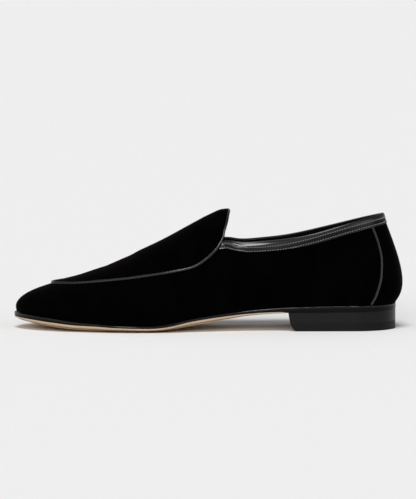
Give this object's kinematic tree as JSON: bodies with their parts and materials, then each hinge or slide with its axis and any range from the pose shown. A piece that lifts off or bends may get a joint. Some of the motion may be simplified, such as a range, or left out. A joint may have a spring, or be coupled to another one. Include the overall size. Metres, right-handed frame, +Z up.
{
  "type": "velvet slipper loafer",
  "caption": "Low slip-on loafer with a velvet upper, raised apron and tongue, leather piping and collar binding, thin leather sole and low stacked heel. One left shoe, made empty.",
  "frame": {"origin": "on the floor, under the middle of the shoe's bounding box in plan", "axes": "+Z up, toe towards -X, outer side of the left foot towards -Y"},
  "size_m": [0.3006, 0.0988, 0.0929],
  "materials": {
    "upper": "black velvet, matt, with a soft sheen at grazing angles",
    "apron_piping": "black smooth leather, glossy",
    "topline_binding": "black smooth leather, half gloss",
    "back_piping_outer": "black smooth leather, glossy",
    "back_piping_inner": "black smooth leather, glossy",
    "outsole": "natural sole leather, edge stained black",
    "insole": "black sock leather",
    "heel_stack": "stacked leather stained black and burnished",
    "top_lift": "black rubber and leather lift"
  },
  "bodies": {
    "root": {"upper": "upper", "apron_piping": "apron_piping", "topline_binding": "topline_binding", "back_piping_outer": "back_piping_outer", "back_piping_inner": "back_piping_inner", "outsole": "outsole", "insole": "insole", "heel_stack": "heel_stack", "top_lift": "top_lift"}
  },
  "joints": []
}
